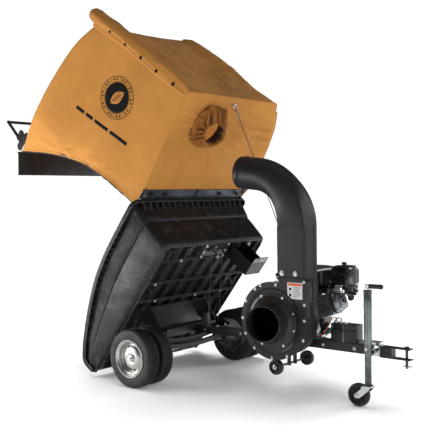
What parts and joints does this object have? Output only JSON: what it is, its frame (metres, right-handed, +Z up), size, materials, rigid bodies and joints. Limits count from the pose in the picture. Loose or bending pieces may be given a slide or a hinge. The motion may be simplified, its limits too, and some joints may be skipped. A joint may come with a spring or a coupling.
{
  "type": "tow-behind leaf vacuum mulcher",
  "caption": "Tow-behind leaf vacuum trailer: engine-driven blower and chute feed a dumping tub under a fabric cover that opens as the tub tips.",
  "frame": {"origin": "on the ground, under the centre of the bounding box at rest", "axes": "+X towards the hitch, +Y towards the engine's recoil side, +Z up"},
  "size_m": [3.0171, 1.224, 2.4243],
  "materials": {
    "tyre_rubber": "matt ribbed tyre rubber",
    "silver_rim": "silver painted pressed steel",
    "zinc_plate": "bright zinc plating",
    "black_powder": "satin black powder coat",
    "blower_coat": "satin charcoal powder coat",
    "nozzle_plastic": "satin moulded black plastic",
    "black_poly": "scuffed rotomoulded polyethylene",
    "canvas": "tan woven canvas",
    "black_vinyl": "black coated vinyl",
    "hinge_bar_metal": "dark anodised ribbed extrusion",
    "engine_black": "gloss black engine paint",
    "engine_grey": "grey heat guard",
    "cast_aluminium": "rough cast aluminium",
    "battery_case": "black battery case",
    "red_wire": "red wire insulation",
    "green_wire": "green wire insulation",
    "wire_rope": "bare steel wire rope"
  },
  "bodies": {
    "chassis": {"axle": "zinc_plate", "axle_frame": "black_powder", "tongue": "black_powder", "rest_bracket": "black_powder", "roller_bracket": "black_powder", "blower_housing": "blower_coat", "blower_front_plate": "blower_coat", "intake_nozzle": "nozzle_plastic", "discharge_chute": "nozzle_plastic", "engine_plate": "black_powder", "crankcase": "cast_aluminium", "cylinder": "cast_aluminium", "valve_cover": "cast_aluminium", "fan_shroud": "engine_black", "fuel_tank": "engine_black", "air_cleaner": "engine_black", "muffler_guard": "engine_grey", "carburettor": "cast_aluminium", "battery": "battery_case", "battery_lead_red": "red_wire", "battery_lead_green": "green_wire", "jack_mount": "zinc_plate", "hitch_clevis": "black_powder", "cover_cable": "wire_rope"},
    "tub": {"tub": "black_poly", "tub_pivot_lugs": "black_powder", "foot_box": "black_powder", "latch_plate": "black_powder", "limit_cable_near": "wire_rope", "limit_cable_far": "wire_rope"},
    "cover": {"cover_shell": "canvas", "cover_front_panel": "canvas", "inlet_sleeve": "canvas", "vent_roll_near": "canvas", "vent_roll_far": "canvas", "cover_frame": "black_powder", "hinge_bar_near": "hinge_bar_metal", "hinge_bar_far": "hinge_bar_metal", "bail_handle": "black_powder"},
    "flap": {"rear_flap": "black_vinyl"},
    "wheel_near_inner": {"wheel_near_inner_tyre": "tyre_rubber", "wheel_near_inner_rim": "silver_rim"},
    "wheel_near_outer": {"wheel_near_outer_tyre": "tyre_rubber", "wheel_near_outer_rim": "silver_rim"},
    "wheel_far_inner": {"wheel_far_inner_tyre": "tyre_rubber", "wheel_far_inner_rim": "silver_rim"},
    "wheel_far_outer": {"wheel_far_outer_tyre": "tyre_rubber", "wheel_far_outer_rim": "silver_rim"},
    "roller_near_wheel": {"roller_near": "nozzle_plastic"},
    "roller_far_wheel": {"roller_far": "nozzle_plastic"},
    "impeller": {"impeller": "black_powder"},
    "fuel_cap": {"fuel_cap": "engine_black"},
    "throttle_lever": {"throttle_lever": "engine_black"},
    "jack": {"jack_outer_tube": "zinc_plate"},
    "jack_leg": {"jack_inner_tube": "zinc_plate"},
    "jack_crank": {"jack_crank": "nozzle_plastic"},
    "caster": {"caster_fork": "zinc_plate"},
    "caster_wheel": {"caster_wheel": "tyre_rubber"},
    "hitch_pin": {"hitch_pin": "black_powder"},
    "pin_clip": {"pin_clip": "zinc_plate"}
  },
  "joints": [
    {"name": "tub_dump", "type": "hinge", "parent": "chassis", "child": "tub", "pos_m": [-0.154, 0, 0.3], "axis": [0, -1, 0], "range_deg": [-52.2, 0], "deforming": ["cover_cable", "limit_cable_near", "limit_cable_far", "cover_front_panel", "inlet_sleeve"]},
    {"name": "cover_open", "type": "hinge", "parent": "tub", "child": "cover", "pos_m": [-0.08577, 0, 1.17601], "axis": [0, 1, 0], "range_deg": [-79.5, 0]},
    {"name": "flap_swing", "type": "hinge", "parent": "cover", "child": "flap", "pos_m": [-1.32184, 0, 1.51951], "axis": [0, 1, 0], "range_deg": [0, 27.3]},
    {"name": "wheel_near_inner_spin", "type": "hinge", "parent": "chassis", "child": "wheel_near_inner", "pos_m": [-0.094, -0.439, 0.184], "axis": [0, 1, 0], "continuous": true},
    {"name": "wheel_near_outer_spin", "type": "hinge", "parent": "chassis", "child": "wheel_near_outer", "pos_m": [-0.094, -0.561, 0.184], "axis": [0, 1, 0], "continuous": true},
    {"name": "wheel_far_inner_spin", "type": "hinge", "parent": "chassis", "child": "wheel_far_inner", "pos_m": [-0.094, 0.439, 0.184], "axis": [0, 1, 0], "continuous": true},
    {"name": "wheel_far_outer_spin", "type": "hinge", "parent": "chassis", "child": "wheel_far_outer", "pos_m": [-0.094, 0.561, 0.184], "axis": [0, 1, 0], "continuous": true},
    {"name": "roller_near_spin", "type": "hinge", "parent": "chassis", "child": "roller_near_wheel", "pos_m": [0.707, -0.165, 0.161], "axis": [0, 1, 0], "continuous": true},
    {"name": "roller_far_spin", "type": "hinge", "parent": "chassis", "child": "roller_far_wheel", "pos_m": [0.707, 0.165, 0.161], "axis": [0, 1, 0], "continuous": true},
    {"name": "impeller_spin", "type": "hinge", "parent": "chassis", "child": "impeller", "pos_m": [0.739, -0.15, 0.45], "axis": [0, 1, 0], "continuous": true},
    {"name": "fuel_cap_turn", "type": "hinge", "parent": "chassis", "child": "fuel_cap", "pos_m": [0.746, 0.12, 0.755], "axis": [0, 0, 1], "range_deg": [0, 90]},
    {"name": "throttle_lever_swing", "type": "hinge", "parent": "chassis", "child": "throttle_lever", "pos_m": [1.034, 0.122, 0.6], "axis": [0, 1, 0], "range_deg": [0, 45]},
    {"name": "jack_swivel", "type": "hinge", "parent": "chassis", "child": "jack", "pos_m": [1.291, -0.09, 0.318], "axis": [0, 1, 0], "range_deg": [0, 90]},
    {"name": "jack_extend", "type": "slide", "parent": "jack", "child": "jack_leg", "axis": [0, 0, -1], "range_m": [-0.16, 0.05]},
    {"name": "jack_crank_turn", "type": "hinge", "parent": "jack", "child": "jack_crank", "pos_m": [1.291, -0.11, 0.67], "axis": [0, 0, 1], "range_deg": [-12000, 3700]},
    {"name": "caster_swivel", "type": "hinge", "parent": "jack_leg", "child": "caster", "pos_m": [1.291, -0.11, 0.12], "axis": [0, 0, 1], "continuous": true},
    {"name": "caster_wheel_spin", "type": "hinge", "parent": "caster", "child": "caster_wheel", "pos_m": [1.233, -0.11, 0.065], "axis": [0, 1, 0], "continuous": true},
    {"name": "hitch_pin_lift", "type": "slide", "parent": "chassis", "child": "hitch_pin", "axis": [0, 0, 1], "range_m": [0, 0.03]},
    {"name": "pin_clip_pull", "type": "slide", "parent": "hitch_pin", "child": "pin_clip", "axis": [1, 0, 0], "range_m": [0, 0.05]}
  ],
  "couplings": [
    {"joint": "cover_open", "follows": "tub_dump", "ratio": 1.5211},
    {"joint": "flap_swing", "follows": "tub_dump", "ratio": -0.5211},
    {"joint": "jack_crank_turn", "follows": "jack_extend", "rad_per_m": 1256.6}
  ]
}
